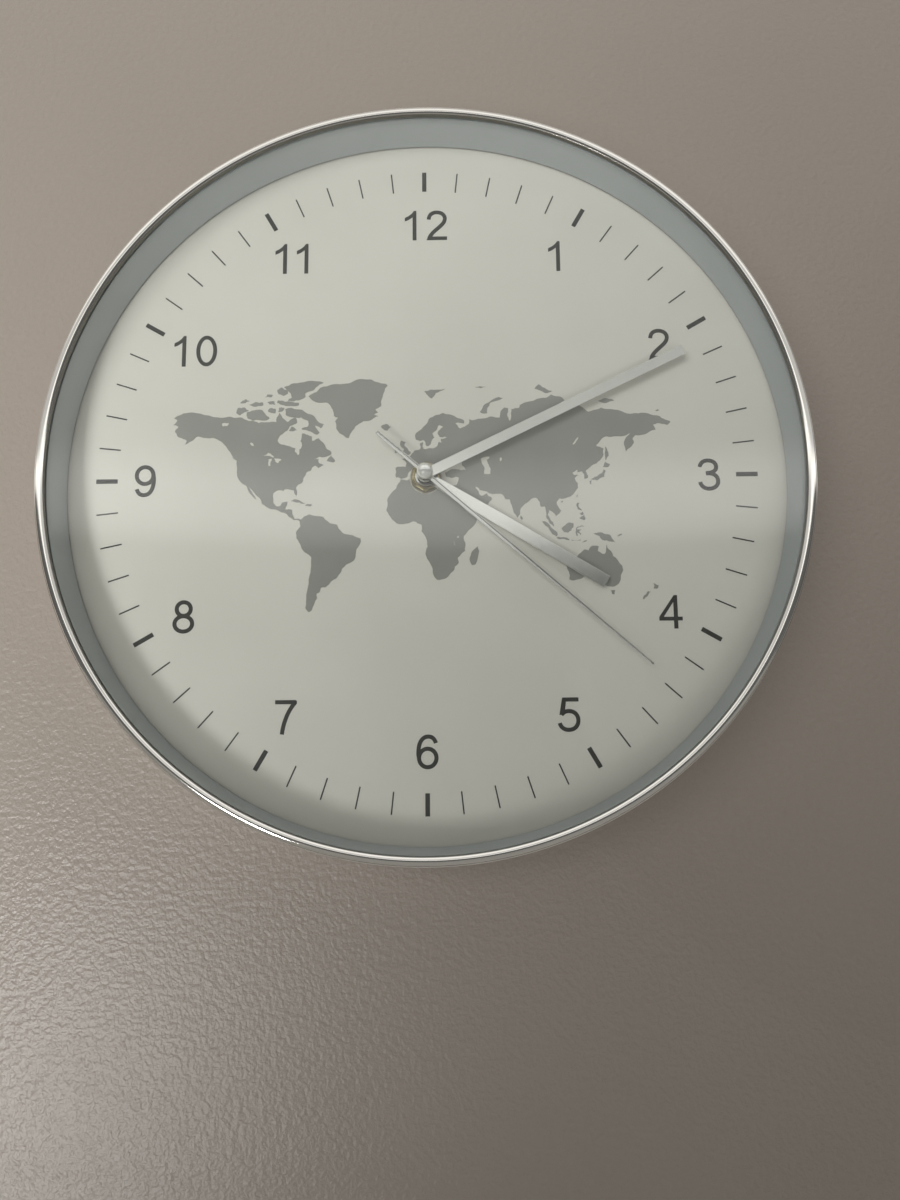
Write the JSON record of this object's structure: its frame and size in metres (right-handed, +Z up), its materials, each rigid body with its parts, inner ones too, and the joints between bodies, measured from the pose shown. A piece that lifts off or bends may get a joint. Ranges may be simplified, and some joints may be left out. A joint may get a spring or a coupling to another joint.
{
  "type": "wall clock",
  "caption": "Round quartz wall clock with a slim polished rim, flat glass, world map dial, plain numerals, straight satin hands and a keyhole plate on its back.",
  "frame": {"origin": "centre of the keyhole, on the rear face of the hanger plate, where the wall screw holds the clock; the wall plane is 2 mm behind it and the hands' axis 107 mm below it", "axes": "+Y into the wall and -Y out of the dial towards the viewer, +Z up to the 12, +X to the 3"},
  "size_m": [0.3, 0.0412, 0.3],
  "materials": {
    "back_case": "fine matt texture",
    "bezel": "polished",
    "case_screws": "zinc plated",
    "front_glass": "clear float glass",
    "glass_gasket": "foam strip",
    "spacer_ring": "matt blue-grey",
    "dial_plate": "matt light grey print ground",
    "minute_track": "printed ink",
    "hour_numerals": "printed ink",
    "world_map": "printed ink",
    "hanger_plate": "zinc plated",
    "hanger_screws": "zinc plated",
    "movement_case": "black, lightly textured",
    "movement_cover": "black, lightly textured",
    "mounting_bush": "turned and threaded",
    "rubber_washer": "matt",
    "brass_washer": "polished",
    "hex_nut": "polished",
    "train_bridge": "natural",
    "stator": "punched soft iron",
    "coil_core": "punched soft iron",
    "coil_bobbin": "natural",
    "coil_winding": "enamelled copper wire",
    "circuit_board": "solder resist",
    "quartz_crystal": "tinned can",
    "chip_cover": "potting resin",
    "battery": "plain sleeve, no print",
    "battery_spring": "nickel plated",
    "battery_contact": "nickel plated",
    "rotor_pinion": "natural acetal",
    "rotor_magnet": "sintered magnet",
    "fifth_wheel": "natural acetal",
    "seconds_wheel": "natural acetal",
    "seconds_arbor": "drawn wire",
    "third_wheel": "natural acetal",
    "centre_wheel": "natural acetal",
    "clutch_spring": "rolled",
    "cannon_pinion": "natural acetal",
    "minute_wheel": "natural acetal",
    "hour_wheel": "natural acetal",
    "setting_knob": "black, fluted edge",
    "hour_hand": "satin, brushed lengthwise",
    "hour_collar": "satin",
    "minute_hand": "satin, brushed lengthwise",
    "minute_collar": "satin",
    "second_hand": "satin, brushed lengthwise",
    "second_collar": "satin",
    "ball_cap": "mirror polished"
  },
  "bodies": {
    "case": {"back_case": "back_case", "bezel": "bezel", "case_screws": "case_screws", "front_glass": "front_glass", "glass_gasket": "glass_gasket", "spacer_ring": "spacer_ring", "dial_plate": "dial_plate", "minute_track": "minute_track", "hour_numerals": "hour_numerals", "world_map": "world_map", "hanger_plate": "hanger_plate", "hanger_screws": "hanger_screws", "movement_case": "movement_case", "movement_cover": "movement_cover", "mounting_bush": "mounting_bush", "rubber_washer": "rubber_washer", "brass_washer": "brass_washer", "hex_nut": "hex_nut", "train_bridge": "train_bridge", "stator": "stator", "coil_core": "coil_core", "coil_bobbin": "coil_bobbin", "coil_winding": "coil_winding", "circuit_board": "circuit_board", "quartz_crystal": "quartz_crystal", "chip_cover": "chip_cover", "battery": "battery", "battery_spring": "battery_spring", "battery_contact": "battery_contact"},
    "minute": {"cannon_pinion": "cannon_pinion", "minute_hand": "minute_hand", "minute_collar": "minute_collar"},
    "hour": {"hour_wheel": "hour_wheel", "hour_hand": "hour_hand", "hour_collar": "hour_collar"},
    "minute_wheel": {"minute_wheel": "minute_wheel"},
    "knob": {"setting_knob": "setting_knob"},
    "second": {"seconds_wheel": "seconds_wheel", "seconds_arbor": "seconds_arbor", "second_hand": "second_hand", "second_collar": "second_collar", "ball_cap": "ball_cap"},
    "fifth": {"fifth_wheel": "fifth_wheel"},
    "rotor": {"rotor_pinion": "rotor_pinion", "rotor_magnet": "rotor_magnet"},
    "third": {"third_wheel": "third_wheel"},
    "centre": {"centre_wheel": "centre_wheel", "clutch_spring": "clutch_spring"}
  },
  "joints": [
    {"name": "minute_hand_turn", "type": "hinge", "parent": "case", "child": "minute", "pos_m": [0, -0.01, -0.107], "axis": [0, 1, 0], "continuous": true},
    {"name": "hour_hand_turn", "type": "hinge", "parent": "case", "child": "hour", "pos_m": [0, -0.012, -0.107], "axis": [0, 1, 0], "continuous": true},
    {"name": "minute_wheel_turn", "type": "hinge", "parent": "case", "child": "minute_wheel", "pos_m": [-0.00617, -0.01, -0.11435], "axis": [0, 1, 0], "continuous": true},
    {"name": "setting_knob_turn", "type": "hinge", "parent": "case", "child": "knob", "pos_m": [-0.01576, -0.001, -0.11435], "axis": [0, 1, 0], "continuous": true},
    {"name": "second_hand_turn", "type": "hinge", "parent": "case", "child": "second", "pos_m": [0, -0.004, -0.107], "axis": [0, 1, 0], "continuous": true},
    {"name": "fifth_wheel_turn", "type": "hinge", "parent": "case", "child": "fifth", "pos_m": [0.00921, -0.002, -0.10365], "axis": [0, 1, 0], "continuous": true},
    {"name": "rotor_turn", "type": "hinge", "parent": "case", "child": "rotor", "pos_m": [0.01051, -0.004, -0.09627], "axis": [0, 1, 0], "continuous": true},
    {"name": "third_wheel_turn", "type": "hinge", "parent": "case", "child": "third", "pos_m": [-0.00936, -0.006, -0.1016], "axis": [0, 1, 0], "continuous": true},
    {"name": "centre_wheel_turn", "type": "hinge", "parent": "case", "child": "centre", "pos_m": [0, -0.008, -0.107], "axis": [0, 1, 0], "continuous": true}
  ],
  "couplings": [
    {"joint": "hour_hand_turn", "follows": "minute_hand_turn", "ratio": 0.083333},
    {"joint": "minute_wheel_turn", "follows": "minute_hand_turn", "ratio": -0.33333},
    {"joint": "setting_knob_turn", "follows": "minute_hand_turn", "ratio": 1},
    {"joint": "fifth_wheel_turn", "follows": "second_hand_turn", "ratio": -6},
    {"joint": "rotor_turn", "follows": "second_hand_turn", "ratio": 30},
    {"joint": "third_wheel_turn", "follows": "second_hand_turn", "ratio": -0.125},
    {"joint": "centre_wheel_turn", "follows": "second_hand_turn", "ratio": 0.016667}
  ]
}
